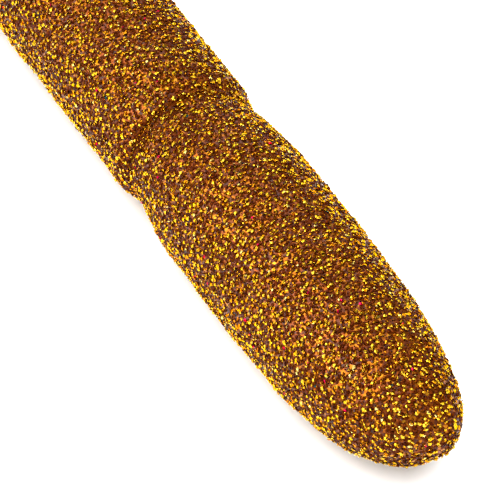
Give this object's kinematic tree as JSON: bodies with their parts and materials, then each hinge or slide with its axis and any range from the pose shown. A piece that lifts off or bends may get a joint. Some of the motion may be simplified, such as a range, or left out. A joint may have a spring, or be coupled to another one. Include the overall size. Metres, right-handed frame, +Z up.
{
  "type": "rhythmic gymnastics ribbon stick",
  "caption": "Slim glitter-coated ribbon stick with a rounded end knob, grip sleeve, tapered rod and a swivelling snap hook for a ribbon.",
  "frame": {"origin": "bottom centre of the whole, on the surface the stick lies on", "axes": "+X along the stick from the end knob to the snap hook, +Z up, +Y towards the hook's lever"},
  "size_m": [0.5952, 0.0112, 0.01],
  "materials": {
    "knob_coat": "gold glitter in clear lacquer over a moulded end knob",
    "sleeve_coat": "gold glitter in clear lacquer over the grip sleeve",
    "rod_coat": "fine gold glitter lacquer on fibreglass",
    "band": "gold film tape",
    "nickel": "nickel-plated brass, bright",
    "wire": "nickel-plated steel wire",
    "brass": "turned brass",
    "spring": "spring steel strip"
  },
  "bodies": {
    "stick": {"end_knob": "knob_coat", "grip_sleeve": "sleeve_coat", "grip_band": "band", "shaft_rod": "rod_coat", "tip_ferrule": "nickel", "ferrule_pin": "nickel", "tip_eye": "wire"},
    "ring": {"split_ring": "wire"},
    "upper_eye": {"swivel_upper_eye": "wire"},
    "barrel": {"swivel_barrel": "brass", "upper_washer": "brass", "lower_washer": "brass"},
    "lower_eye": {"swivel_lower_eye": "wire"},
    "snap": {"snap_body": "nickel", "lever_rivet": "nickel", "lever_spring": "spring"},
    "lever": {"snap_lever": "nickel"}
  },
  "joints": [
    {"name": "ring_swing", "type": "hinge", "parent": "stick", "child": "ring", "pos_m": [0.25571, 0, 0.00363], "axis": [0, 1, 0], "range_deg": [-70, 70]},
    {"name": "swivel_swing", "type": "hinge", "parent": "ring", "child": "upper_eye", "pos_m": [0.26195, 0, 0.00222], "axis": [0, 1, 0], "range_deg": [-60, 60]},
    {"name": "barrel_spin", "type": "hinge", "parent": "upper_eye", "child": "barrel", "pos_m": [0.26195, 0, 0.00222], "axis": [1, 0, 0], "continuous": true},
    {"name": "hook_spin", "type": "hinge", "parent": "barrel", "child": "lower_eye", "pos_m": [0.27415, 0, 0.00222], "axis": [1, 0, 0], "continuous": true},
    {"name": "hook_swing", "type": "hinge", "parent": "lower_eye", "child": "snap", "pos_m": [0.27415, 0, 0.00222], "axis": [0, 1, 0], "range_deg": [-55, 55]},
    {"name": "lever_open", "type": "hinge", "parent": "snap", "child": "lever", "pos_m": [0.28045, 0.00315, 0.00203], "axis": [-0.0299, 0, -0.9996], "range_deg": [0, 22], "stiffness_Nm_per_rad": 0.005, "springref_deg": -17.19, "deforming": ["lever_spring"]}
  ]
}
